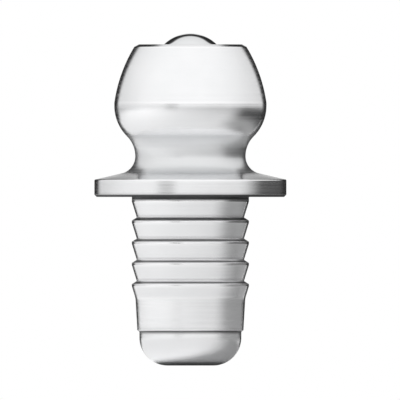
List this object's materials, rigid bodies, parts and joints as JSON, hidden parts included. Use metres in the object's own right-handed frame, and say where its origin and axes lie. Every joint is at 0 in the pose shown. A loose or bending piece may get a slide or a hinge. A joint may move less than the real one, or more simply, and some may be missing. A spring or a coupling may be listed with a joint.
{
  "type": "grease nipple",
  "caption": "Straight drive-fit grease nipple: a barbed shank presses into a drilled hole, a collar seats on the surface, and a sprung ball shuts the coupler head.",
  "frame": {"origin": "where the axis meets the underside of the collar, the face that seats on the drilled surface", "axes": "+Z along the nipple's axis, out of the hole and up to the coupler head; the part is round about Z"},
  "size_m": [0.0082, 0.0082, 0.0142],
  "materials": {
    "plated_steel": "turned steel with bright zinc plate, satin, fine turning marks",
    "ball_steel": "hardened bearing steel, ground and polished",
    "spring_wire": "drawn spring wire, lightly oiled"
  },
  "bodies": {
    "fitting": {"nipple_body": "plated_steel", "check_spring": "spring_wire"},
    "ball": {"check_ball": "ball_steel"}
  },
  "joints": [
    {"name": "ball_travel", "type": "slide", "parent": "fitting", "child": "ball", "axis": [0, 0, -1], "range_m": [0, 0.0015], "stiffness_N_per_m": 760, "springref_m": -0.0001, "deforming": ["check_spring"]}
  ]
}
